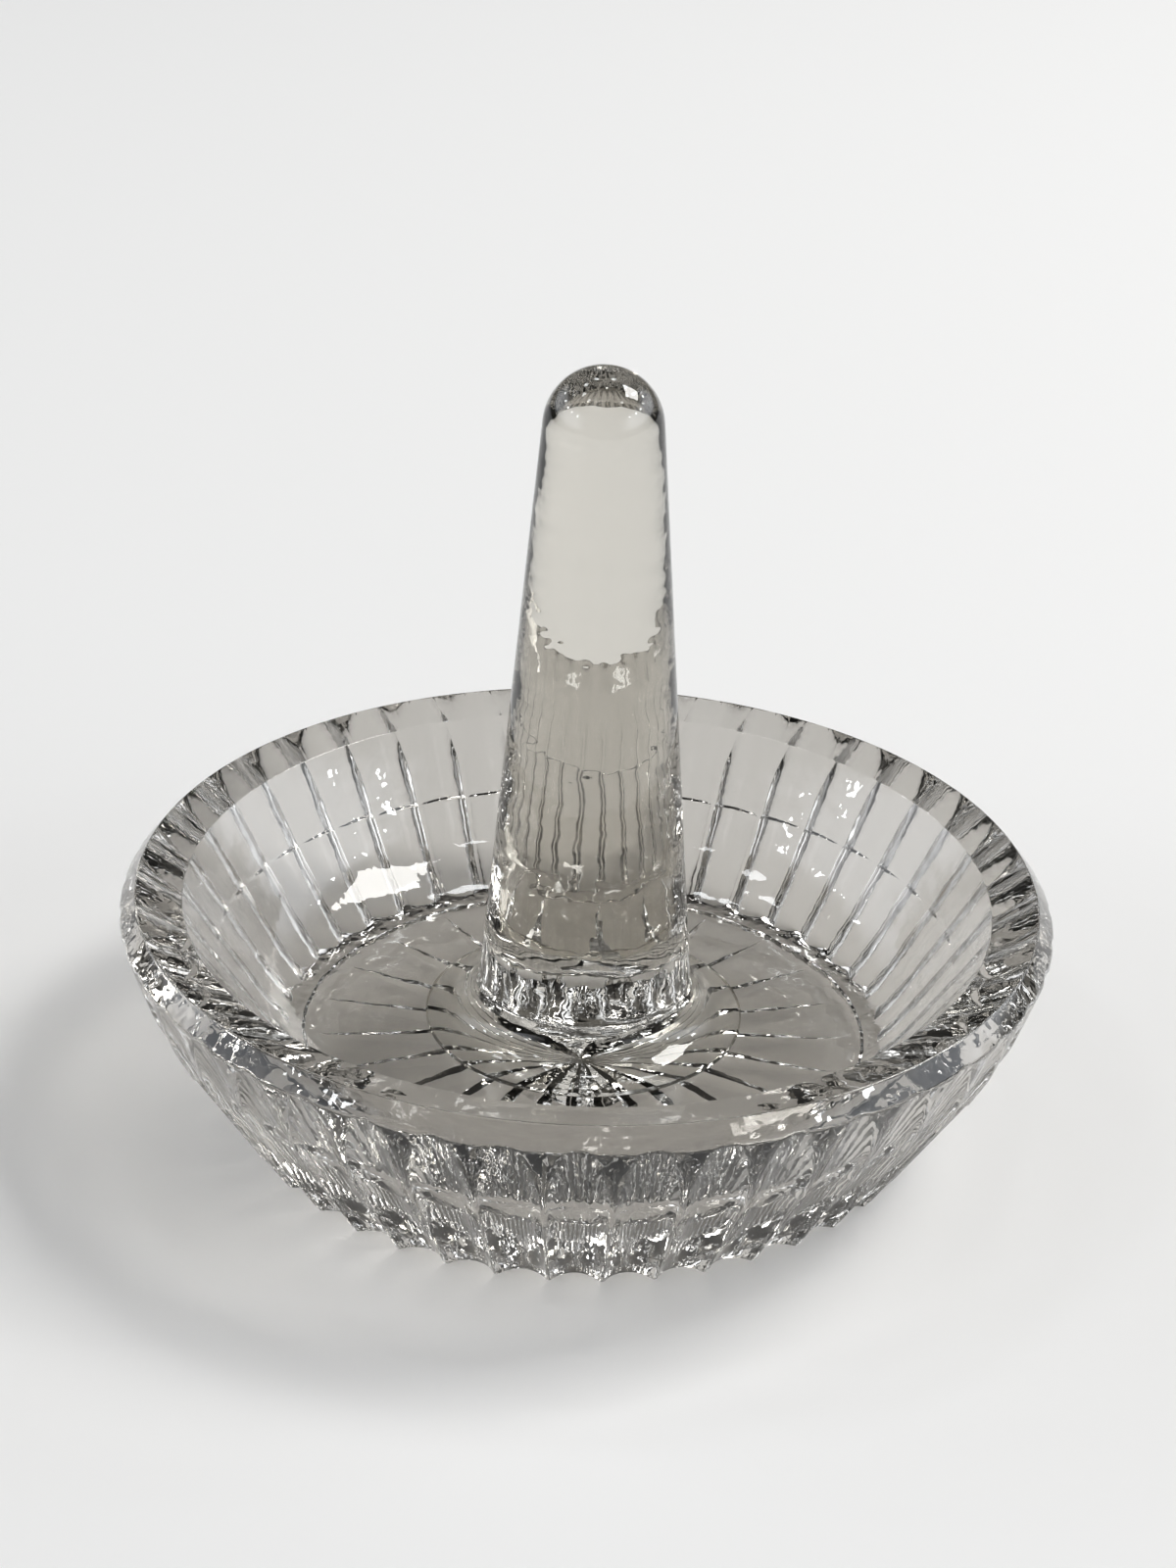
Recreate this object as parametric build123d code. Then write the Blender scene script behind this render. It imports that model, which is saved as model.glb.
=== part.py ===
from build123d import *
import os
from math import acos, atan2, cos, hypot, pi, radians, sin, tan

# A ring dish of clear cut crystal: a low round dish with a tapered solid post bonded to its floor.
# Millimetres. The Z axis is the axis of the dish and the post, and Z = 0 is the table.

# Dish: heights above the table and radii
dish_height = 25.6
widest_radius = 50.0
rim_band_height = 2.2
rim_band_slant = 1.8
rim_width = 4.9
rim_fall = 1.1
waist_inset = 3.6
waist_height = 12.1
base_inset = 12.15
base_bevel = 1.3

# Dish: the hollow
floor_height = 8.8
wall_lean = 34.0
hollow_fillet = 13.0

# Dish: the underside
base_ring_width = 4.35
recess_depth = 0.8

# Scoop cuts round the outside, in two tiers that share their ridges
scoop_count = 44
upper_scoop_radius = 4.75
upper_cut_at_edge = 0.25
upper_cut_at_waist = 2.18
lower_scoop_radius_at_waist = 4.0
lower_scoop_radius_at_base = 3.08
lower_cut_at_waist = 2.81
lower_cut_at_base = 1.6
lower_scoop_top = 13.0
scoop_overrun = 6.0
scoop_turn = -102.1

# Star cut under the floor
star_ray_count = 24
star_inner_radius = 0.8
star_wide_radius = 14.0
star_margin = 2.5
star_depth = 1.3
star_ray_gap = 0.08
star_overrun = 0.05
star_turn = -87.1

# Ring post
post_height = 83.1
tip_radius = 6.15
root_radius = 11.9
foot_radius = 17.3
foot_edge = 0.5
foot_flare = 5.7

# Bond between the post and the dish
bond_thickness = 0.1
bond_margin = 0.2

# Radii, heights and angles worked out from the sizes above
crest_radius = widest_radius - rim_band_slant
mouth_radius = crest_radius - rim_width
waist_radius = widest_radius - waist_inset
base_radius = widest_radius - base_inset
recess_radius = base_radius - base_ring_width
star_outer_radius = recess_radius - star_margin
widest_height = dish_height - rim_band_height
mouth_height = dish_height - rim_fall
bond_top = floor_height + bond_thickness
scoop_pitch = 360 / scoop_count


def ring_point(radius, height):
    """A point of a profile that is turned about the Z axis."""
    return Vector(radius, 0, height)


def turned(outline):
    """The solid that a closed outline sweeps when it turns about the Z axis."""
    return revolve(make_face(outline), Axis.Z)


def dish_blank():
    """The dish before it is cut: base, leaning wall, rim band, inward-sloping rim and rounded hollow."""
    outside = Polyline(
        ring_point(0, recess_depth),
        ring_point(recess_radius - recess_depth, recess_depth),
        ring_point(recess_radius, 0),
        ring_point(base_radius, 0),
        ring_point(base_radius + base_bevel, base_bevel),
        ring_point(waist_radius, waist_height),
        ring_point(widest_radius, widest_height),
        ring_point(crest_radius, dish_height),
        ring_point(mouth_radius, mouth_height),
    )
    wall_height = mouth_height - floor_height
    wall_foot = mouth_radius - wall_height * tan(radians(wall_lean))
    half_turn = radians(90 - wall_lean) / 2
    longest_fillet = 0.9 * wall_height / cos(radians(wall_lean)) / tan(half_turn)
    hollow = FilletPolyline(
        ring_point(mouth_radius, mouth_height),
        ring_point(wall_foot, floor_height),
        ring_point(0, floor_height),
        radius=min(hollow_fillet, longest_fillet),
    )
    axis_line = Line(ring_point(0, floor_height), ring_point(0, recess_depth))
    return turned([outside, hollow, axis_line])


def scoop_cutter(low_valley, low_radius, high_valley, high_radius, top):
    """A cone whose side nearest the axis runs along the valley from low_valley to high_valley.

    Each valley point is a radius and a height. The cone starts below the low one, and its side goes on until
    the valley is at the height top. From there a blunt tip closes it.
    """
    rise = high_valley[1] - low_valley[1]
    lean = atan2(high_valley[0] - low_valley[0], rise)
    low_centre = Vector(low_valley[0] + low_radius * cos(lean), 0, low_valley[1] - low_radius * sin(lean))
    high_centre = Vector(high_valley[0] + high_radius * cos(lean), 0, high_valley[1] - high_radius * sin(lean))
    run = high_centre - low_centre
    growth = (high_radius - low_radius) / run.length
    shoulder = run.length * (top - low_valley[1]) / rise
    shoulder_radius = low_radius + growth * shoulder
    outline = Polyline(
        ring_point(0, -scoop_overrun),
        ring_point(low_radius - growth * scoop_overrun, -scoop_overrun),
        ring_point(shoulder_radius, shoulder),
        ring_point(0, shoulder + shoulder_radius),
        close=True,
    )
    return Plane(origin=low_centre, z_dir=run.normalized()) * turned(outline)


def scoop_cutters():
    """Both tiers of scoops, one upper and one lower scoop in each column."""
    upper = scoop_cutter(
        (waist_radius - upper_cut_at_waist, waist_height),
        upper_scoop_radius,
        (widest_radius - upper_cut_at_edge, widest_height),
        upper_scoop_radius,
        dish_height + scoop_overrun,
    )
    lower = scoop_cutter(
        (base_radius - lower_cut_at_base, 0),
        lower_scoop_radius_at_base,
        (waist_radius - lower_cut_at_waist, waist_height),
        lower_scoop_radius_at_waist,
        lower_scoop_top,
    )
    first = scoop_turn + scoop_pitch / 2
    turns = [first + column * scoop_pitch for column in range(scoop_count)]
    return [tool.rotate(Axis.Z, turn) for turn in turns for tool in (upper, lower)]


def star_cutter():
    """One ray of the star: a groove that is widest and deepest part way out and runs out at both ends."""
    wide = pi * star_wide_radius / star_ray_count - star_ray_gap / 2
    grow = (star_depth + star_overrun) / star_depth
    level = recess_depth - star_overrun
    deepest = Vector(star_wide_radius, 0, recess_depth + star_depth)
    corners = [
        Vector(star_wide_radius - (star_wide_radius - star_inner_radius) * grow, 0, level),
        Vector(star_wide_radius, -wide * grow, level),
        Vector(star_wide_radius + (star_outer_radius - star_wide_radius) * grow, 0, level),
        Vector(star_wide_radius, wide * grow, level),
    ]
    faces = [Face(Wire.make_polygon(corners))]
    for this, following in zip(corners, corners[1:] + corners[:1]):
        faces.append(Face(Wire.make_polygon([this, following, deepest])))
    return Solid(Shell(faces))


def make_dish():
    """The blank with its scoops and its star cut out."""
    blank = dish_blank().solid().rotate(Axis.Z, scoop_turn + scoop_pitch / 4)
    scooped = blank.cut(*scoop_cutters())
    ray = star_cutter()
    turns = [star_turn + number * 360 / star_ray_count for number in range(star_ray_count)]
    rays = [ray.rotate(Axis.Z, turn) for turn in turns]
    return scooped.cut(*rays)


def make_ring_post():
    """The solid post: foot edge, flare, straight taper and domed tip, each running smoothly into the next."""
    dome_centre = post_height - tip_radius
    foot_top = bond_top + foot_edge
    reach = hypot(root_radius, dome_centre - foot_top)
    lean = acos(tip_radius / reach) - atan2(dome_centre - foot_top, root_radius)
    middle = (lean + pi / 2) / 2
    taper_end = ring_point(tip_radius * cos(lean), dome_centre + tip_radius * sin(lean))
    dome_middle = ring_point(tip_radius * cos(middle), dome_centre + tip_radius * sin(middle))
    longest_flare = (foot_radius - root_radius) / tan((pi / 2 - lean) / 2)
    side = FilletPolyline(
        ring_point(foot_radius, foot_top),
        ring_point(root_radius, foot_top),
        taper_end,
        radius=min(foot_flare, 0.98 * longest_flare),
    )
    dome = ThreePointArc(taper_end, dome_middle, ring_point(0, post_height))
    base = Polyline(
        ring_point(0, post_height),
        ring_point(0, bond_top),
        ring_point(foot_radius, bond_top),
        ring_point(foot_radius, foot_top),
    )
    return turned([side, dome, base])


def make_bond_film():
    """The cured clear layer between the floor of the dish and the foot of the post."""
    film_radius = foot_radius - bond_margin
    disc = Cylinder(film_radius, bond_thickness, align=(Align.CENTER, Align.CENTER, Align.MIN))
    return Pos(0, 0, floor_height) * disc


parts = {
    "dish": make_dish(),
    "ring_post": make_ring_post(),
    "bond_film": make_bond_film(),
}
os.makedirs("parts", exist_ok=True)
for name, shape in parts.items():
    export_step(shape, f"parts/{name}.step")
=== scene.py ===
"""A ring dish of clear cut crystal with a tapered ring post, dressed round its CAD frame."""

import math

import bmesh
import bpy
from mathutils import Matrix, Vector


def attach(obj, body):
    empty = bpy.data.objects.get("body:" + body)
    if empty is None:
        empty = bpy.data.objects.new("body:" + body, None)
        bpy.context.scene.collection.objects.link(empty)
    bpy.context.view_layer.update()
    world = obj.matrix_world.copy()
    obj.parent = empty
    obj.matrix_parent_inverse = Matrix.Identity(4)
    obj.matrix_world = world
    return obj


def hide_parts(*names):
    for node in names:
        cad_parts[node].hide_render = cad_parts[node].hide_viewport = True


bl_info = {
    "name": "Cut Crystal Ring Dish",
    "version": (1, 0, 0),
    "blender": (4, 5, 0),
    "location": "View3D > Sidebar > Ring Dish",
    "description": "A scoop-cut crystal dish, its ring post, the bond between them and a plain studio",
    "category": "Add Mesh",
}

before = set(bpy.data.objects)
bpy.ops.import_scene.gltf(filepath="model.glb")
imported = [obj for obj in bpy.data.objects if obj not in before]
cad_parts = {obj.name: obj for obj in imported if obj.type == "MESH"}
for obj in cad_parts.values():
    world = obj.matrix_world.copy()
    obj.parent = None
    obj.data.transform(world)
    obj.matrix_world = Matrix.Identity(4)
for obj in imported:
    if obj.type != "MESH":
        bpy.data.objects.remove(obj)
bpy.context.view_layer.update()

# How finely the meshes are divided

# Across half a column: to the end of the arch, the ridge's rounding, the base's tooth and the ridge
ACROSS_COLUMN = (3, 4, 3, 2)
# Across half a ray, as parts: on its groove and on the plain strip beside it
ACROSS_RAY = (8, 3)
# Along a ray: outside and inside the place where it is widest
ALONG_RAY = (3, 4)
RIM_STEPS = 2
SPAN_STEPS = 3
EDGE_STEPS = 3
TAPER_STEPS = 10
ARC_STEPS = 16
BOND_STEPS = 4
FOOT_STEPS = 3
TURN_STEPS = 192
# Distances from an edge, and from the shelf between the tiers, at which an outline has points, in metres
NEAR_EDGE = (0.0001, 0.00025, 0.0005)
NEAR_SHELF = (0.00003, 0.00006, 0.00009, 0.00013, 0.0002, 0.0004)
# The most of a short way that the points near one end take
END_SHARE = 0.35

# How exactly they fit together

HALVINGS = 60
# Points that agree to a tenth of a micrometre are one vertex
PLACES_PER_METRE = 1e7
# Edges of neighbouring columns and rays that are this near are joined, in metres
SEAM = 0.000002
CREASE_ANGLE = math.radians(1)
# A reach beyond the whole dish, for a direction in which a scoop's cone isn't met
FAR = 1.0

# What the polish and the paper look like

# Length and height of the ripple that polish leaves on cut and on pressed crystal, in metres
CUT_RIPPLE = (0.003, 0.0001)
PRESSED_RIPPLE = (0.004, 0.00014)
# Share of the light that the crystal lets through to the table
SHADOW_TINT = (0.3, 0.3, 0.3, 1.0)
MOTTLES_PER_METRE = 260.0


# Sizes and colours that a user would change


def length(name, description, millimetres):
    """A length property, given in millimetres and kept in metres."""
    return bpy.props.FloatProperty(
        name=name,
        description=description,
        default=millimetres / 1000,
        precision=6,
        unit="LENGTH",
        subtype="DISTANCE",
    )


def angle(name, description, degrees):
    """An angle property, given in degrees and kept in radians."""
    return bpy.props.FloatProperty(
        name=name,
        description=description,
        default=math.radians(degrees),
        unit="ROTATION",
        subtype="ANGLE",
    )


def count(name, description, number):
    """A whole-number property."""
    return bpy.props.IntProperty(name=name, description=description, default=number, min=1)


def hex_colour(name, description, code):
    """A colour property whose default is an sRGB hex code."""
    return bpy.props.FloatVectorProperty(
        name=name,
        description=description,
        default=linear(code),
        size=4,
        min=0,
        max=1,
        subtype="COLOR",
    )


def linear(code):
    """The linear colour of an sRGB hex code."""
    parts = [int(code[place : place + 2], 16) / 255 for place in (1, 3, 5)]
    light = [part / 12.92 if part <= 0.04045 else ((part + 0.055) / 1.055) ** 2.4 for part in parts]
    return (*light, 1.0)


class DishSizes(bpy.types.PropertyGroup):
    """The cut dish."""

    height: length("Height", "Table to the crest of the rim", 25.6)
    crest_radius: length("Crest Radius", "Radius of the rim's highest edge", 48.2)
    widest_radius: length("Widest Radius", "Radius of the lower edge of the rim band", 50.0)
    band_height: length("Rim Band Height", "Height of the plain band under the crest", 2.2)
    mouth_radius: length("Mouth Radius", "Radius of the rim's inner edge", 43.3)
    rim_fall: length("Rim Fall", "Drop of the rim's top from crest to mouth", 1.1)
    waist_radius: length("Waist Radius", "Radius of the blank where the two tiers meet", 46.4)
    waist_height: length("Waist Height", "Height where the two tiers meet", 12.1)
    base_radius: length("Base Radius", "Radius of the base edge", 37.85)
    base_bevel: length("Base Bevel", "Size of the bevel round the base", 1.3)
    floor_height: length("Floor Height", "Table to the floor of the hollow", 8.8)
    wall_lean: angle("Wall Lean", "Lean of the hollow's wall", 34.0)
    hollow_fillet: length("Hollow Fillet", "Rounding between the wall and the floor", 13.0)
    recess_radius: length("Recess Radius", "Radius of the recess under the base", 33.5)
    recess_depth: length("Recess Depth", "Depth of the recess under the base", 0.8)
    edge_round: length("Edge Rounding", "Polished rounding of the rim's edges", 0.22)


class ScoopSizes(bpy.types.PropertyGroup):
    """The scoop cuts round the dish, in two tiers."""

    columns: count("Columns", "Scoops round the dish", 44)
    turn: angle("Turn", "Direction of the first ridge", -102.1)
    upper_radius: length("Upper Scoop Radius", "Radius of the upper scoops", 4.75)
    upper_cut_edge: length("Upper Cut At Edge", "Depth of the upper scoops at the rim band", 0.25)
    upper_cut_waist: length("Upper Cut At Waist", "Depth of the upper scoops at the waist", 2.18)
    lower_radius_waist: length("Lower Radius At Waist", "Radius of the lower scoops at the waist", 4.0)
    lower_radius_base: length("Lower Radius At Base", "Radius of the lower scoops at the base", 3.08)
    lower_cut_waist: length("Lower Cut At Waist", "Depth of the lower scoops at the waist", 2.81)
    lower_cut_base: length("Lower Cut At Base", "Depth of the lower scoops at the base", 1.6)
    lower_top: length("Lower Scoop Top", "Height where the lower scoops stop", 13.0)
    ridge_round: length("Ridge Rounding", "How far the polish reaches into the ridges between scoops", 1.2)
    edge_round: length("Edge Rounding", "How far the polish reaches into the other edges", 0.35)


class StarSizes(bpy.types.PropertyGroup):
    """The star cut under the floor."""

    rays: count("Rays", "Rays of the star", 24)
    turn: angle("Turn", "Direction of the first ray", -87.1)
    inner_radius: length("Inner Radius", "Where the rays begin", 0.8)
    wide_radius: length("Wide Radius", "Where the rays are widest and deepest", 14.0)
    outer_radius: length("Outer Radius", "Where the rays end", 31.0)
    depth: length("Depth", "Greatest depth of a ray", 1.3)
    gap: length("Gap", "Plain strip between two rays where they are widest", 0.08)


class PostSizes(bpy.types.PropertyGroup):
    """The ring post and the bond under it."""

    height: length("Height", "Table to the top of the dome", 83.1)
    tip_radius: length("Tip Radius", "Radius of the dome", 6.15)
    root_radius: length("Root Radius", "Radius that the taper reaches at the foot", 11.9)
    foot_radius: length("Foot Radius", "Radius of the foot", 17.3)
    foot_edge: length("Foot Edge", "Height of the foot's upright edge", 0.5)
    foot_flare: length("Foot Flare", "Radius of the flare above the foot", 5.7)
    bond_thickness: length("Bond Thickness", "Thickness of the clear bond", 0.1)
    bond_margin: length("Bond Margin", "How far the bond stays inside the foot's edge", 0.2)


class Finish(bpy.types.PropertyGroup):
    """Colours of the crystal and of the studio."""

    # The dish's tint is partly the crystal's own faint smoky tone and partly painted shade: it is deepened
    # so that all seen through the dish comes out darker
    crystal: hex_colour("Crystal", "Smoky tint of the dish's crystal", "#D2CFCA")
    # The post is the same crystal as the dish; its lighter tint is painted light that brightens the post
    # where it looks down into the shade under the dish
    post_crystal: hex_colour("Post Crystal", "Tint of the post's crystal", "#DFDCD4")
    bond: hex_colour("Bond", "Faint tint of the clear bond", "#FCFCF8")
    floor: hex_colour("Floor", "Pale paper floor", "#F2F1F0")


# Small helpers


def add(tree, kind, inputs=None, **settings):
    """Adds a node with its settings, and feeds its inputs, by name or number, with values or sockets."""
    new = tree.nodes.new(kind)
    for option, value in settings.items():
        setattr(new, option, value)
    for key, value in (inputs or {}).items():
        if isinstance(value, bpy.types.NodeSocket):
            tree.links.new(value, new.inputs[key])
        else:
            new.inputs[key].default_value = value
    return new


def crossing(gap, low, high):
    """Where gap changes sign between low and high."""
    rising = gap(high) > gap(low)
    for _ in range(HALVINGS):
        middle = (low + high) / 2
        if (gap(middle) > 0) == rising:
            high = middle
        else:
            low = middle
    return (low + high) / 2


def between(start, end, steps):
    """The points after start on the way to end."""
    return [
        tuple(a + (b - a) * step / steps for a, b in zip(start, end)) for step in range(1, steps + 1)
    ]


def arc_points(centre, radius, first, last, steps):
    """Points of an arc after its first one, with the angles in radians."""
    turns = [first + (last - first) * step / steps for step in range(1, steps + 1)]
    return [(centre[0] + radius * math.cos(turn), centre[1] + radius * math.sin(turn)) for turn in turns]


def rounded_corner(before, corner, after, radius, steps):
    """Points of the arc that rounds a corner, from the line before it to the line after it."""
    back = (Vector(before) - Vector(corner)).normalized()
    ahead = (Vector(after) - Vector(corner)).normalized()
    half = back.angle(ahead) / 2
    centre = Vector(corner) + (back + ahead).normalized() * radius / math.sin(half)
    start = Vector(corner) + back * radius / math.tan(half) - centre
    sweep = start.angle_signed(Vector(corner) + ahead * radius / math.tan(half) - centre)
    first = math.atan2(start.y, start.x)
    turns = [first - sweep * step / steps for step in range(steps + 1)]
    return [(centre.x + radius * math.cos(turn), centre.y + radius * math.sin(turn)) for turn in turns]


def mesh_of(name, rows, sharp_rows, bonded_rows=(), closed=False):
    """A mesh of rows of points. Equal points are one vertex, and faces that shrink to a line are left out.

    Row edges whose row is in sharp_rows are creases. Rows of faces in bonded_rows carry the mark that gives
    them the bonded finish.
    """
    shape = bmesh.new()
    bonded = shape.faces.layers.bool.new("bonded")
    known = {}

    def vertex(point):
        key = tuple(round(value * PLACES_PER_METRE) for value in point)
        if key not in known:
            known[key] = shape.verts.new(point)
        return known[key]

    grid = [[vertex(point) for point in row] for row in rows]
    columns = len(rows[0]) if closed else len(rows[0]) - 1
    for number in range(len(grid) - 1):
        for column in range(columns):
            following = (column + 1) % len(rows[0])
            corners = [grid[number][column], grid[number][following]]
            corners += [grid[number + 1][following], grid[number + 1][column]]
            kept = [corner for place, corner in enumerate(corners) if corner not in corners[:place]]
            if len(kept) > 2 and shape.faces.get(kept) is None:
                face = shape.faces.new(kept)
                face.smooth = True
                face[bonded] = number in bonded_rows
    for number in sharp_rows:
        row = grid[number]
        for one, other in zip(row, row[1:] + row[:1]):
            edge = shape.edges.get((one, other)) if one is not other else None
            if edge is not None:
                edge.smooth = False
    mesh = bpy.data.meshes.new(name)
    shape.to_mesh(mesh)
    shape.free()
    return mesh


def new_object(name, mesh):
    """An object in the scene, at the origin."""
    made = bpy.data.objects.new(name, mesh)
    bpy.context.scene.collection.objects.link(made)
    return made


def outward(made):
    """Turns the faces of a closed mesh outwards, and raises an error if it has an open or a shared edge."""
    shape = bmesh.new()
    shape.from_mesh(made.data)
    faulty = [edge for edge in shape.edges if len(edge.link_faces) != 2]
    if faulty:
        middle = sum((vertex.co for vertex in faulty[0].verts), Vector()) / 2
        raise RuntimeError(
            f"{made.name} has {len(faulty)} edges that don't join two faces, one near {middle}"
        )
    bmesh.ops.recalc_face_normals(shape, faces=shape.faces)
    shape.to_mesh(made.data)
    shape.free()
    return made


# The dish: one column of it, one ray of its star, and the tree that repeats them


class Scoop:
    """A scoop cut whose inner side runs along a straight valley in the middle of its column.

    A scoop with a shoulder stops at that height of its valley, and closes there with a short blunt tip.
    """

    def __init__(self, low, low_radius, high, high_radius, shoulder=None, rounding=0.0):
        lean = math.atan2(high[0] - low[0], high[1] - low[1])
        self.start = (low[0] + low_radius * math.cos(lean), low[1] - low_radius * math.sin(lean))
        end = (high[0] + high_radius * math.cos(lean), high[1] - high_radius * math.sin(lean))
        run = math.dist(self.start, end)
        self.way = ((end[0] - self.start[0]) / run, (end[1] - self.start[1]) / run)
        growth = (high_radius - low_radius) / run
        self.cones = [(low_radius, growth)]
        self.rounding = rounding
        if shoulder is not None:
            along = run * (shoulder - low[1]) / (high[1] - low[1])
            self.cones.append((low_radius + (growth + 1) * along, -1.0))

    def cone_reach(self, turn, height, radius, growth):
        """Distance from the dish's axis to one cone of the scoop, at an angle from the column's middle."""
        rise = height - self.start[1]
        along = rise * self.way[1] - self.start[0] * self.way[0]
        slope = math.cos(turn) * self.way[0]
        size = radius + growth * along
        square = 1 - slope**2 * (1 + growth**2)
        linear_part = -2 * (math.cos(turn) * self.start[0] + slope * along + growth * slope * size)
        constant = self.start[0] ** 2 + rise**2 - along**2 - size**2
        under_root = linear_part**2 - 4 * square * constant
        if under_root < 0:
            return FAR
        reach = (-linear_part - math.sqrt(under_root)) / (2 * square)
        return reach if size + growth * slope * reach > 0 else FAR

    def reach(self, turn, height):
        """Distance from the dish's axis to the scoop's surface."""
        reaches = [self.cone_reach(turn, height, *cone) for cone in self.cones]
        return -soft_least([-reach for reach in reaches], self.rounding)


def soft_least(lengths, blend):
    """The least of some lengths, with the corner between the two smallest of them rounded off."""
    least = min(lengths)
    if len(lengths) == 1:
        return least
    following = sorted(lengths)[1]
    return least - max(blend - (following - least), 0.0) ** 2 / (4 * blend)


def graded(low, high, after_low, before_high, steps):
    """Heights after low up to high: at the given distances from both ends, and even between."""
    scale = min(1.0, END_SHARE * (high - low) / max(after_low + before_high))
    below = [low + distance * scale for distance in after_low]
    above = [high - distance * scale for distance in reversed(before_high)]
    middle = [below[-1] + (above[0] - below[-1]) * step / steps for step in range(1, steps)]
    return below + middle + above + [high]


def column_meridians(sizes, scoops, bond_radius):
    """The outline of the dish at each angle across one column.

    An outline runs from the recess's edge under the base, up the scooped side, over the rim and down the
    hollow to the axis. Its points gather at the ridges and edges, whose polished rounding they follow.
    """
    half = math.pi / scoops.columns
    widest = sizes.height - sizes.band_height
    upper = Scoop(
        (sizes.waist_radius - scoops.upper_cut_waist, sizes.waist_height),
        scoops.upper_radius,
        (sizes.widest_radius - scoops.upper_cut_edge, widest),
        scoops.upper_radius,
    )
    lower = Scoop(
        (sizes.base_radius - scoops.lower_cut_base, 0),
        scoops.lower_radius_base,
        (sizes.waist_radius - scoops.lower_cut_waist, sizes.waist_height),
        scoops.lower_radius_waist,
        scoops.lower_top,
        scoops.edge_round,
    )
    slope = (sizes.widest_radius - sizes.waist_radius) / (widest - sizes.waist_height)
    band_slope = (sizes.crest_radius - sizes.widest_radius) / sizes.band_height

    def blank(z):
        return [
            sizes.base_radius + z,
            sizes.waist_radius + slope * (z - sizes.waist_height),
            sizes.widest_radius + band_slope * (z - widest),
        ]

    def side(turn, z):
        beyond = 2 * half - abs(turn)
        neighbours = [(tier.reach(turn, z), tier.reach(beyond, z)) for tier in (upper, lower)]
        tiers = [soft_least(pair, scoops.ridge_round) for pair in neighbours]
        return soft_least(tiers + blank(z), scoops.edge_round), z

    def waist_gap(turn):
        return upper.reach(2 * half - turn, sizes.waist_height) - upper.reach(turn, sizes.waist_height)

    arch_end = crossing(lambda turn: upper.reach(turn, widest) - sizes.widest_radius, 0, half)
    ridge_start = crossing(lambda turn: waist_gap(turn) - scoops.ridge_round, 0, half)
    tooth_start = crossing(lambda turn: lower.reach(turn, 0) - sizes.base_radius, 0, half)
    marks = (0, arch_end, ridge_start, tooth_start, half)
    right = [0]
    for start, end, steps in zip(marks, marks[1:], ACROSS_COLUMN):
        right += [start + (end - start) * step / steps for step in range(1, steps + 1)]
    turns = [-turn for turn in reversed(right[1:])] + right
    inside = hollow_outline(sizes, bond_radius)
    meridians = []
    for turn in turns:
        bevel_top = 0.0
        if abs(turn) > tooth_start:
            bevel_top = crossing(lambda z: blank(z)[0] - lower.reach(turn, z), 0, sizes.base_bevel)
        waist = crossing(
            lambda z: lower.reach(turn, z) - upper.reach(turn, z),
            sizes.waist_height / 2,
            (sizes.waist_height + widest) / 2,
        )
        if abs(turn) > arch_end:
            arch = crossing(lambda z: upper.reach(turn, z) - blank(z)[1], waist, widest)
            edge = widest
        else:
            arch = crossing(lambda z: upper.reach(turn, z) - blank(z)[2], widest, sizes.height)
            edge = arch
        heights = [0.0, bevel_top / 2, bevel_top]
        heights += graded(bevel_top, waist, NEAR_EDGE, NEAR_SHELF, SPAN_STEPS)
        heights += graded(waist, arch, NEAR_SHELF[:1] + NEAR_EDGE, NEAR_EDGE, SPAN_STEPS)
        heights += graded(arch, edge, NEAR_EDGE[:2], NEAR_EDGE[:2], 2)
        heights += graded(edge, inside[0][1], NEAR_EDGE[:2], NEAR_EDGE[:1], 1)[:-1]
        meridians.append([(sizes.recess_radius, 0.0)] + [side(turn, z) for z in heights] + inside)
    return turns, meridians


def hollow_outline(sizes, bond_radius):
    """The outline from the rim band over the rim, down the leaning wall and along the floor to the axis."""
    widest = (sizes.widest_radius, sizes.height - sizes.band_height)
    crest = (sizes.crest_radius, sizes.height)
    mouth = (sizes.mouth_radius, sizes.height - sizes.rim_fall)
    drop = mouth[1] - sizes.floor_height
    wall_foot = sizes.mouth_radius - drop * math.tan(sizes.wall_lean)
    tangent = sizes.hollow_fillet * math.tan((math.pi / 2 - sizes.wall_lean) / 2)
    floor_edge = wall_foot - tangent
    centre = (floor_edge, sizes.floor_height + sizes.hollow_fillet)
    wall_end = (
        wall_foot + tangent * math.sin(sizes.wall_lean),
        sizes.floor_height + tangent * math.cos(sizes.wall_lean),
    )
    bond_edge = (bond_radius, sizes.floor_height)
    points = rounded_corner(widest, crest, mouth, sizes.edge_round, EDGE_STEPS)
    mouth_round = rounded_corner(crest, mouth, wall_end, sizes.edge_round, EDGE_STEPS)
    points += between(points[-1], mouth_round[0], RIM_STEPS)[:-1] + mouth_round
    points += between(mouth_round[-1], wall_end, SPAN_STEPS)
    points += arc_points(centre, sizes.hollow_fillet, -sizes.wall_lean, -math.pi / 2, ARC_STEPS)
    points += between(points[-1], bond_edge, SPAN_STEPS)
    points += between(bond_edge, (0.0, sizes.floor_height), BOND_STEPS)
    return points


def column_mesh(sizes, scoops, bond_radius):
    """One column of the dish, from the recess's edge under the base to the axis on the floor."""
    turns, meridians = column_meridians(sizes, scoops, bond_radius)
    last = len(turns) - 1
    even = [math.pi / scoops.columns * (2 * place / last - 1) for place in range(last + 1)]
    rows = []
    for number in range(len(meridians[0])):
        spread = even if number == 0 else turns
        rows.append(
            [
                (line[number][0] * math.cos(turn), line[number][0] * math.sin(turn), line[number][1])
                for turn, line in zip(spread, meridians)
            ]
        )
    axis = len(rows) - 1
    return mesh_of("column", rows, (0, 1), range(axis - BOND_STEPS, axis))


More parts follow.
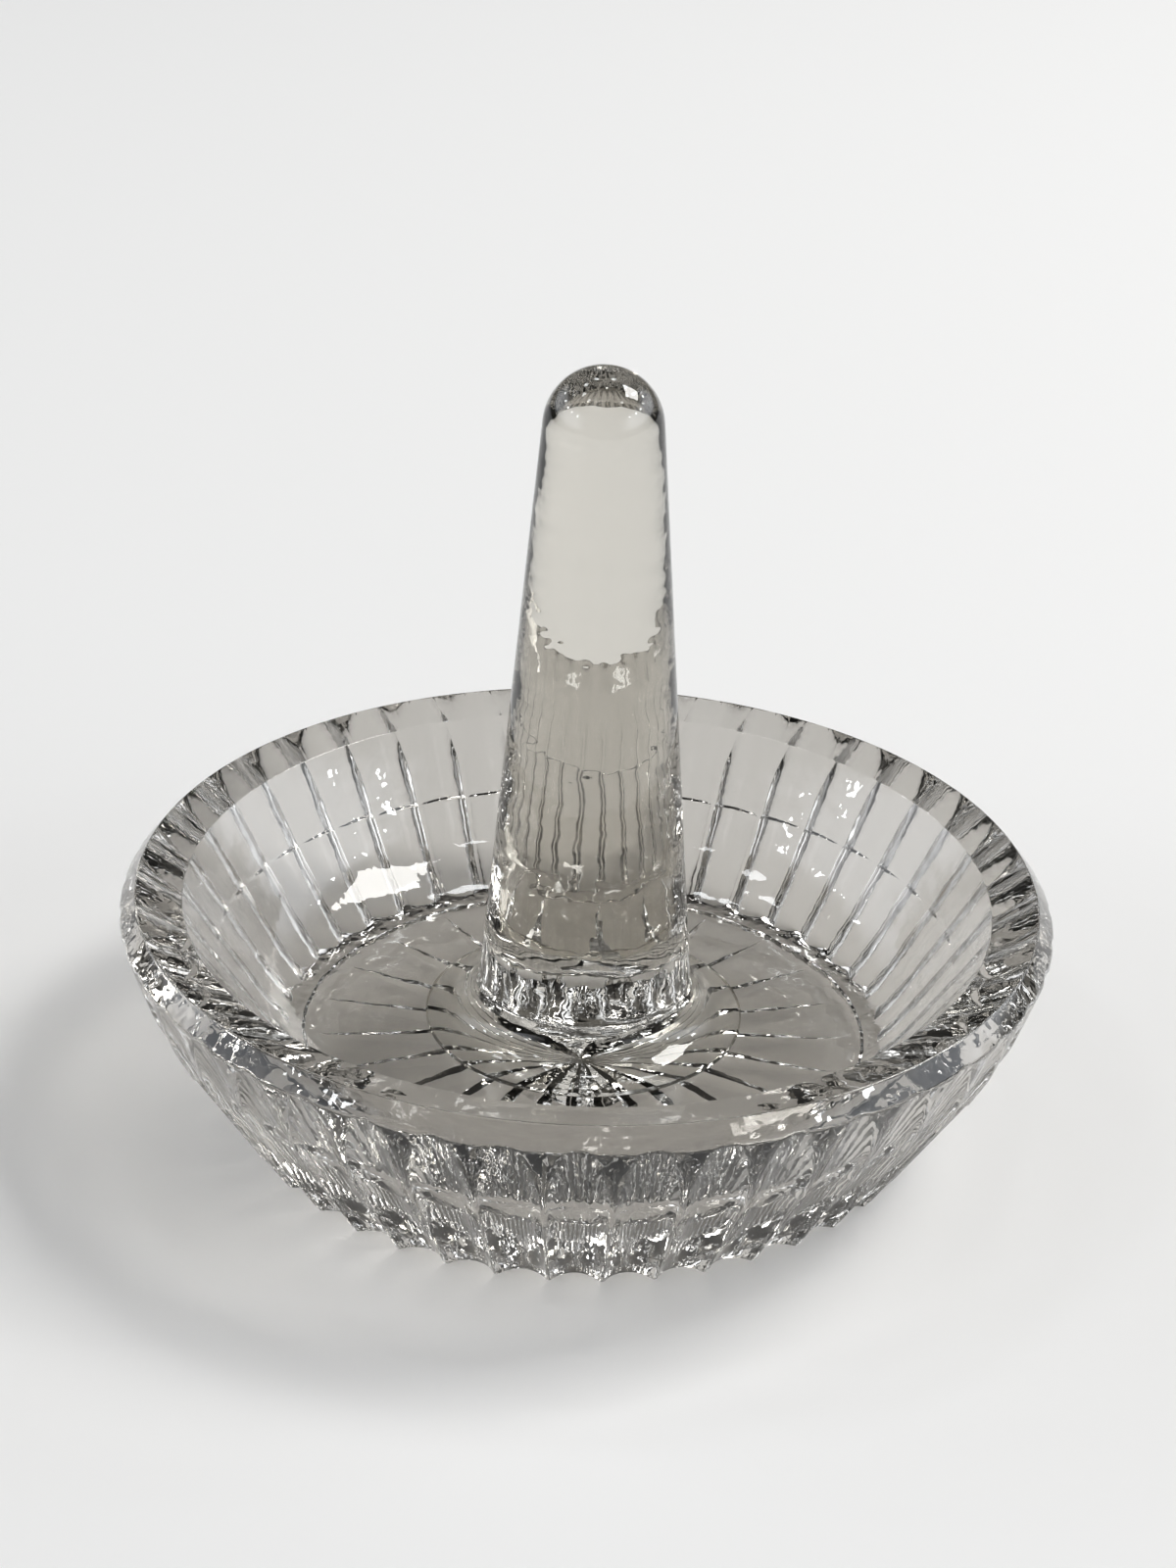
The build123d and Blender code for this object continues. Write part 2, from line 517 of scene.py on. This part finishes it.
def ray_mesh(sizes, star, steps):
    """One ray of the star with its share of the recess, from the recess's edge to the axis.

    The ray is a groove that is widest and deepest part way out. The steps are those across half of it, so
    that its edge meets the columns' edges point by point. Its middle and both its sides are lines of edges.
    """
    half = math.pi / star.rays
    side = steps * ACROSS_RAY[0] // sum(ACROSS_RAY)
    wide = star.wide_radius * math.pi / star.rays - star.gap / 2
    floor = sizes.recess_depth
    turns = [half * place / steps for place in range(-steps, steps + 1)]
    rows = []
    for radius, height in (
        (sizes.recess_radius, 0.0),
        (sizes.recess_radius - sizes.recess_depth, floor),
    ):
        rows.append([(radius * math.cos(turn), radius * math.sin(turn), height) for turn in turns])
    outer = between((star.outer_radius,), (star.wide_radius,), ALONG_RAY[0])
    inner = between((star.wide_radius,), (star.inner_radius,), ALONG_RAY[1])
    for (along,) in [(star.outer_radius,)] + outer + inner:
        if along >= star.wide_radius:
            share = (star.outer_radius - along) / (star.outer_radius - star.wide_radius)
        else:
            share = (along - star.inner_radius) / (star.wide_radius - star.inner_radius)
        line = []
        for place in range(steps + 1):
            if place <= side:
                across = wide * share * place / side
                depth = star.depth * share * (1 - place / side)
            else:
                spare = along * math.tan(half) - wide * share
                across = wide * share + spare * (place - side) / (steps - side)
                depth = 0.0
            line.append((along, across, floor + depth))
        rows.append([(x, -y, z) for x, y, z in reversed(line[1:])] + line)
    rows.append([(0.0, 0.0, floor)] * (2 * steps + 1))
    mesh = mesh_of("ray", rows, (0, 1))
    shape = bmesh.new()
    shape.from_mesh(mesh)
    for edge in shape.edges:
        if len(edge.link_faces) == 2 and edge.calc_face_angle() > CREASE_ANGLE:
            edge.smooth = False
    shape.to_mesh(mesh)
    shape.free()
    return mesh


def repeating_tree():
    """The node tree that sets columns and rays round the axis, joins them and gives them their finish."""
    tree = bpy.data.node_groups.new("Cut round the axis", "GeometryNodeTree")
    for name, kind in (
        ("Column", "NodeSocketObject"),
        ("Column Count", "NodeSocketInt"),
        ("Column Turn", "NodeSocketFloat"),
        ("Ray", "NodeSocketObject"),
        ("Ray Count", "NodeSocketInt"),
        ("Ray Turn", "NodeSocketFloat"),
        ("Seam", "NodeSocketFloat"),
        ("Crystal", "NodeSocketMaterial"),
        ("Bonded", "NodeSocketMaterial"),
    ):
        tree.interface.new_socket(name=name, in_out="INPUT", socket_type=kind)
    tree.interface.new_socket(name="Geometry", in_out="OUTPUT", socket_type="NodeSocketGeometry")
    given = add(tree, "NodeGroupInput").outputs
    index = add(tree, "GeometryNodeInputIndex").outputs[0]
    join = add(tree, "GeometryNodeJoinGeometry")
    for name in ("Column", "Ray"):
        number = given[f"{name} Count"]
        points = add(tree, "GeometryNodePoints", {"Count": number})
        step = add(tree, "ShaderNodeMath", {0: math.tau, 1: number}, operation="DIVIDE")
        turn = add(
            tree,
            "ShaderNodeMath",
            {0: index, 1: step.outputs[0], 2: given[f"{name} Turn"]},
            operation="MULTIPLY_ADD",
        )
        euler = add(tree, "ShaderNodeCombineXYZ", {"Z": turn.outputs[0]})
        rotation = add(tree, "FunctionNodeEulerToRotation", {0: euler.outputs[0]})
        piece = add(
            tree, "GeometryNodeObjectInfo", {"Object": given[name]}, transform_space="ORIGINAL"
        )
        copies = add(
            tree,
            "GeometryNodeInstanceOnPoints",
            {
                "Points": points.outputs[0],
                "Instance": piece.outputs["Geometry"],
                "Rotation": rotation.outputs[0],
            },
        )
        tree.links.new(copies.outputs[0], join.inputs[0])
    real = add(tree, "GeometryNodeRealizeInstances", {0: join.outputs[0]})
    merged = add(
        tree,
        "GeometryNodeMergeByDistance",
        {"Geometry": real.outputs[0], "Distance": given["Seam"]},
    )
    clear = add(
        tree,
        "GeometryNodeSetMaterial",
        {"Geometry": merged.outputs[0], "Material": given["Crystal"]},
    )
    mark = add(tree, "GeometryNodeInputNamedAttribute", {"Name": "bonded"}, data_type="BOOLEAN")
    bonded = add(
        tree,
        "GeometryNodeSetMaterial",
        {"Geometry": clear.outputs[0], "Selection": mark.outputs[0], "Material": given["Bonded"]},
    )
    add(tree, "NodeGroupOutput", {0: bonded.outputs[0]})
    return tree


def grown(name, tree, values):
    """A plain mesh object made by a node tree, with the tree's inputs set by name."""
    made = new_object(name, bpy.data.meshes.new(name))
    modifier = made.modifiers.new("Tree", "NODES")
    modifier.node_group = tree
    for item in tree.interface.items_tree:
        if item.in_out == "INPUT":
            modifier[item.identifier] = values[item.name]
    graph = bpy.context.evaluated_depsgraph_get()
    mesh = bpy.data.meshes.new_from_object(
        made.evaluated_get(graph), preserve_all_data_layers=True, depsgraph=graph
    )
    made.modifiers.clear()
    made.data = mesh
    mesh.name = name
    return made


# Finishes


def new_material(name):
    """A material with an empty node tree."""
    material = bpy.data.materials.new(name)
    material.use_nodes = True
    material.node_tree.nodes.clear()
    return material


def lead_crystal(name, tint, wave, height):
    """Lead crystal, pressed, cut and acid polished.

    Its high index gives strong bends and bright rims. The polish leaves a faint ripple, three or four
    millimetres long and about a tenth of one high, that breaks up the lights seen in it. It lets light
    through to the table, with a soft grey shadow.
    """
    material = new_material(name)
    tree = material.node_tree
    place = add(tree, "ShaderNodeTexCoord").outputs["Object"]
    ripple = add(
        tree,
        "ShaderNodeTexNoise",
        {"Vector": place, "Scale": 1 / wave, "Detail": 2.0, "Roughness": 0.4},
    )
    bump = add(
        tree,
        "ShaderNodeBump",
        {"Height": ripple.outputs[0], "Strength": 1.0, "Distance": height},
    )
    glass = add(
        tree,
        "ShaderNodeBsdfPrincipled",
        {
            "Base Color": tint,
            "Roughness": 0.0,
            "IOR": 1.545,
            "Transmission Weight": 1.0,
            "Normal": bump.outputs[0],
        },
    )
    light_through = add(tree, "ShaderNodeBsdfTransparent", {"Color": SHADOW_TINT})
    shadow_ray = add(tree, "ShaderNodeLightPath").outputs["Is Shadow Ray"]
    both = add(
        tree,
        "ShaderNodeMixShader",
        {0: shadow_ray, 1: glass.outputs[0], 2: light_through.outputs[0]},
    )
    add(tree, "ShaderNodeOutputMaterial", {"Surface": both.outputs[0]})
    return material


def bonded_contact(name):
    """Where two clear pieces touch through the bond: light goes straight on from one to the next."""
    material = new_material(name)
    tree = material.node_tree
    clear = add(tree, "ShaderNodeBsdfTransparent", {"Color": (1, 1, 1, 1)})
    add(tree, "ShaderNodeOutputMaterial", {"Surface": clear.outputs[0]})
    return material


def cured_resin(name, tint):
    """Clear acrylate resin, cured in place: only the thin rim of the bond shows, as a hair line."""
    material = new_material(name)
    tree = material.node_tree
    resin = add(
        tree,
        "ShaderNodeBsdfPrincipled",
        {"Base Color": tint, "Roughness": 0.08, "IOR": 1.49, "Transmission Weight": 1.0},
    )
    add(tree, "ShaderNodeOutputMaterial", {"Surface": resin.outputs[0]})
    return material


def matt_paper(name, tint):
    """Pale matt background paper: faint fibre mottling a few millimetres across, and no gloss."""
    material = new_material(name)
    tree = material.node_tree
    place = add(tree, "ShaderNodeTexCoord").outputs["Object"]
    fibre = add(
        tree, "ShaderNodeTexNoise", {"Vector": place, "Scale": MOTTLES_PER_METRE, "Detail": 4.0}
    )
    shade = add(
        tree,
        "ShaderNodeMix",
        {0: 0.02, 6: tint, 7: fibre.outputs["Color"]},
        data_type="RGBA",
        blend_type="SOFT_LIGHT",
    )
    paper = add(
        tree, "ShaderNodeBsdfPrincipled", {"Base Color": shade.outputs[2], "Roughness": 0.9}
    )
    add(tree, "ShaderNodeOutputMaterial", {"Surface": paper.outputs[0]})
    return material


def shared(name, make, *values):
    """The material of that name, made once."""
    return bpy.data.materials.get(name) or make(name, *values)


# The turned pieces: the post and the bond


def bond_reach(post):
    """Radius of the bond."""
    return post.foot_radius - post.bond_margin


def post_outline(sizes, post):
    """The outline of the post: its underside, the foot's edge, the flare, the taper and the dome."""
    bottom = sizes.floor_height + post.bond_thickness
    foot_top = bottom + post.foot_edge
    dome = post.height - post.tip_radius
    reach = math.hypot(post.root_radius, dome - foot_top)
    lean = math.acos(post.tip_radius / reach) - math.atan2(dome - foot_top, post.root_radius)
    tangent = post.foot_flare * math.tan((math.pi / 2 - lean) / 2)
    flare_centre = (post.root_radius + tangent, foot_top + post.foot_flare)
    taper_end = (post.tip_radius * math.cos(lean), dome + post.tip_radius * math.sin(lean))
    outline = [(0.0, bottom)] + between((0.0, bottom), (bond_reach(post), bottom), FOOT_STEPS)
    outline += [(post.foot_radius, bottom), (post.foot_radius, foot_top), (flare_centre[0], foot_top)]
    outline += arc_points(flare_centre, post.foot_flare, -math.pi / 2, lean - math.pi, ARC_STEPS)
    outline += between(outline[-1], taper_end, TAPER_STEPS)
    outline += arc_points((0.0, dome), post.tip_radius, lean, math.pi / 2, ARC_STEPS)
    return outline


def turned_rows(outline):
    """Rows of points round the axis, one row for each radius and height of an outline."""
    turns = [math.tau * place / TURN_STEPS for place in range(TURN_STEPS)]
    return [
        [(radius * math.cos(turn), radius * math.sin(turn), height) for turn in turns]
        for radius, height in outline
    ]


def finish_with(made, own):
    """Gives a turned piece its own finish, and its bonded faces that of the contact."""
    outward(made)
    made.data.materials.append(own)
    made.data.materials.append(shared("bonded_contact", bonded_contact))
    marks = made.data.attributes["bonded"].data
    for face, mark in zip(made.data.polygons, marks):
        face.material_index = 1 if mark.value else 0


# Operators


class RINGDISH_OT_dish(bpy.types.Operator):
    """Makes the scooped dish with the star cut under its floor."""

    bl_idname = "ringdish.dish"
    bl_label = "Cut Dish"

    def execute(self, context):
        scene = context.scene
        sizes, scoops, star = scene.dish_sizes, scene.scoop_sizes, scene.star_sizes
        column = new_object("column", column_mesh(sizes, scoops, bond_reach(scene.post_sizes)))
        across = sum(ACROSS_COLUMN) * scoops.columns // star.rays
        ray = new_object("ray", ray_mesh(sizes, star, across))
        crystal = shared("lead_crystal_cut", lead_crystal, scene.finish.crystal, *CUT_RIPPLE)
        contact = shared("bonded_contact", bonded_contact)
        values = {
            "Column": column,
            "Column Count": scoops.columns,
            "Column Turn": scoops.turn + math.pi / scoops.columns,
            "Ray": ray,
            "Ray Count": star.rays,
            "Ray Turn": star.turn,
            "Seam": SEAM,
            "Crystal": crystal,
            "Bonded": contact,
        }
        dish = outward(grown("cut_dish", repeating_tree(), values))
        bpy.data.objects.remove(column)
        bpy.data.objects.remove(ray)
        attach(dish, "root")
        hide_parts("dish")
        return {"FINISHED"}


class RINGDISH_OT_post(bpy.types.Operator):
    """Makes the tapered ring post with its flared foot and domed tip."""

    bl_idname = "ringdish.post"
    bl_label = "Ring Post"

    def execute(self, context):
        scene = context.scene
        rows = turned_rows(post_outline(scene.dish_sizes, scene.post_sizes))
        sharp = (FOOT_STEPS + 1, FOOT_STEPS + 2)
        mesh = mesh_of("turned_post", rows, sharp, range(FOOT_STEPS), closed=True)
        made = new_object("turned_post", mesh)
        tint = scene.finish.post_crystal
        finish_with(made, shared("lead_crystal_pressed", lead_crystal, tint, *PRESSED_RIPPLE))
        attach(made, "root")
        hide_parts("ring_post")
        return {"FINISHED"}


class RINGDISH_OT_bond(bpy.types.Operator):
    """Makes the thin clear bond between the post and the floor of the dish."""

    bl_idname = "ringdish.bond"
    bl_label = "Clear Bond"

    def execute(self, context):
        scene = context.scene
        radius = bond_reach(scene.post_sizes)
        bottom = scene.dish_sizes.floor_height
        top = bottom + scene.post_sizes.bond_thickness
        rows = turned_rows([(0.0, bottom), (radius, bottom), (radius, top), (0.0, top)])
        made = new_object("bond_layer", mesh_of("bond_layer", rows, (1, 2), (0, 2), closed=True))
        finish_with(made, shared("cured_resin", cured_resin, scene.finish.bond))
        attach(made, "root")
        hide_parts("bond_film")
        return {"FINISHED"}


# The studio

# Half the side of the paper, and how far it lies under the dish, so that no two faces coincide, in metres
PAPER_REACH = 4.0
PAPER_DROP = 0.00003
LAMP_TARGET = (0, 0, 0.03)
COOL_WHITE = (0.94, 0.97, 1.0)
# Greys of the room at the horizon and overhead
ROOM_GREYS = ((0.0, "#76746F"), (0.9, "#2E2D2C"))
# Where the walls' light fades in: above their foot, below their top, to the right and to the left
WALL_EDGES = (("Z", 0.1, 0.25), ("Z", 0.62, 0.42), ("X", 0.5, 0.85), ("X", -0.5, -0.85))
# Light of the right and of the left wall
WALL_LIGHTS = ((2.4, 2.5, 2.65, 1.0), (1.8, 1.88, 2.0, 1.0))
# The camera, fitted to the photograph: it aims at the middle of the rim, in metres and degrees
CAMERA_AIM = (0, 0, 0.0256)
CAMERA_DISTANCE = 0.33679
CAMERA_RISE = 28.664
CAMERA_ROLL = 1.985
CAMERA_LENS = 72.0
CAMERA_SENSOR = 36.0
CAMERA_SHIFT = 0.0605


class RINGDISH_OT_studio(bpy.types.Operator):
    """Makes the plain paper floor, the soft lights, the pale surroundings and the camera."""

    bl_idname = "ringdish.studio"
    bl_label = "Plain Studio"

    def execute(self, context):
        scene = context.scene
        corners = [
            [(x * PAPER_REACH, y * PAPER_REACH, -PAPER_DROP) for x in (-1, 1)] for y in (-1, 1)
        ]
        floor = mesh_of("paper_floor", corners, ())
        floor.materials.append(shared("matt_paper", matt_paper, scene.finish.floor))
        new_object("paper_floor", floor)
        # Each lamp's name, place and width in metres, power in watts and colour
        for name, place, size, power, colour in (
            ("softbox_top_right", (1.1, 0.45, 1.45), 0.7, 20.0, (1.0, 0.99, 0.96)),
            ("softbox_front_left", (-0.35, -0.75, 1.45), 0.6, 0.8, (1.0, 0.99, 0.97)),
            ("lamp_top", (0.1, 0.2, 1.8), 0.12, 0.7, (1.0, 1.0, 1.0)),
            *arc_of_lamps("high_lamp", 8, 1.6, (-30, 210), 0.16, 0.75),
            *arc_of_lamps("right_spark", 5, 0.6, (-32, 32), 0.05, 0.18),
            *arc_of_lamps("left_spark", 5, 0.6, (148, 212), 0.05, 0.15),
        ):
            lamp = bpy.data.lights.new(name, "AREA")
            lamp.shape = "RECTANGLE"
            lamp.size = size
            lamp.size_y = size
            lamp.energy = power
            lamp.color = colour
            holder = bpy.data.objects.new(name, lamp)
            scene.collection.objects.link(holder)
            way = (Vector(LAMP_TARGET) - Vector(place)).to_track_quat("-Z", "Y")
            holder.matrix_world = Matrix.Translation(place) @ way.to_matrix().to_4x4()
        surroundings(scene)
        camera(scene)
        scene.view_settings.view_transform = "Standard"
        return {"FINISHED"}


def arc_of_lamps(name, number, height, arc, size, power):
    """Small lamps that make crystal sparkle, a metre from the axis and evenly along an arc in degrees."""
    first, last = arc
    lamps = []
    for place in range(number):
        turn = math.radians(first + (last - first) * place / (number - 1))
        spot = (math.cos(turn), math.sin(turn), height)
        lamps.append((f"{name}_{place + 1}", spot, size, power, COOL_WHITE))
    return lamps


def surroundings(scene):
    """A soft grey room, paler towards the horizon, with a bright wall of cool light on either side."""
    world = bpy.data.worlds.new("soft_room")
    world.use_nodes = True
    tree = world.node_tree
    tree.nodes.clear()
    way = add(tree, "ShaderNodeTexCoord").outputs["Generated"]
    parts = add(tree, "ShaderNodeSeparateXYZ", {0: way}).outputs
    shade = add(tree, "ShaderNodeValToRGB", {0: parts["Z"]})
    ramp = shade.color_ramp
    for stop, (height, code) in zip(ramp.elements, ROOM_GREYS):
        stop.position = height
        stop.color = linear(code)
    faded = []
    for part, start, end in WALL_EDGES:
        given = {"Value": parts[part], "From Min": start, "From Max": end}
        fade = add(tree, "ShaderNodeMapRange", given, interpolation_type="SMOOTHSTEP")
        faded.append(fade.outputs[0])
    foot, top, *sides = faded
    band = add(tree, "ShaderNodeMath", {0: foot, 1: top}, operation="MULTIPLY").outputs[0]
    colour = shade.outputs[0]
    for side, wall in zip(sides, WALL_LIGHTS):
        share = add(tree, "ShaderNodeMath", {0: band, 1: side}, operation="MULTIPLY").outputs[0]
        lit = add(tree, "ShaderNodeMix", {0: share, 6: colour, 7: wall}, data_type="RGBA")
        colour = lit.outputs[2]
    light = add(tree, "ShaderNodeBackground", {"Color": colour, "Strength": 1.0})
    add(tree, "ShaderNodeOutputWorld", {"Surface": light.outputs[0]})
    scene.world = world


def camera(scene):
    """The camera at the photograph's angle: 337 mm from the rim's centre, 28.7 degrees above it."""
    rise = math.radians(CAMERA_RISE)
    roll = math.radians(CAMERA_ROLL)
    back = Vector((0, -math.cos(rise), math.sin(rise)))
    level = Vector((1, 0, 0))
    upright = Vector((0, math.sin(rise), math.cos(rise)))
    right = level * math.cos(roll) + upright * math.sin(roll)
    up = upright * math.cos(roll) - level * math.sin(roll)
    lens = bpy.data.cameras.new("camera")
    lens.sensor_width = CAMERA_SENSOR
    lens.lens = CAMERA_LENS
    lens.shift_y = CAMERA_SHIFT
    lens.clip_start = 0.01
    lens.clip_end = 20.0
    holder = bpy.data.objects.new("camera", lens)
    scene.collection.objects.link(holder)
    place = Vector(CAMERA_AIM) + back * CAMERA_DISTANCE
    way = Matrix((right, up, back)).transposed().to_4x4()
    holder.matrix_world = Matrix.Translation(place) @ way
    scene.camera = holder


class RINGDISH_PT_panel(bpy.types.Panel):
    """Lists the pieces and their sizes."""

    bl_idname = "RINGDISH_PT_panel"
    bl_label = "Ring Dish"
    bl_space_type = "VIEW_3D"
    bl_region_type = "UI"
    bl_category = "Ring Dish"

    def draw(self, context):
        for group, operator in (
            ("dish_sizes", "ringdish.dish"),
            ("scoop_sizes", None),
            ("star_sizes", None),
            ("post_sizes", "ringdish.post"),
            ("finish", "ringdish.bond"),
        ):
            box = self.layout.box()
            held = getattr(context.scene, group)
            for name in held.bl_rna.properties.keys():
                if name not in ("rna_type", "name"):
                    box.prop(held, name)
            if operator:
                box.operator(operator)
        self.layout.operator("ringdish.studio")


GROUPS = {
    "dish_sizes": DishSizes,
    "scoop_sizes": ScoopSizes,
    "star_sizes": StarSizes,
    "post_sizes": PostSizes,
    "finish": Finish,
}
CLASSES = (
    *GROUPS.values(),
    RINGDISH_OT_dish,
    RINGDISH_OT_post,
    RINGDISH_OT_bond,
    RINGDISH_OT_studio,
    RINGDISH_PT_panel,
)


def register():
    """Makes the classes and the scene's settings known."""
    for item in CLASSES:
        bpy.utils.register_class(item)
    for name, group in GROUPS.items():
        setattr(bpy.types.Scene, name, bpy.props.PointerProperty(type=group))


def unregister():
    """Takes the settings and the classes away again."""
    for name in GROUPS:
        delattr(bpy.types.Scene, name)
    for item in reversed(CLASSES):
        bpy.utils.unregister_class(item)


def main():
    """Builds every piece and the studio."""
    register()
    bpy.ops.ringdish.dish()
    bpy.ops.ringdish.post()
    bpy.ops.ringdish.bond()
    bpy.ops.ringdish.studio()


if __name__ == "__main__":
    main()
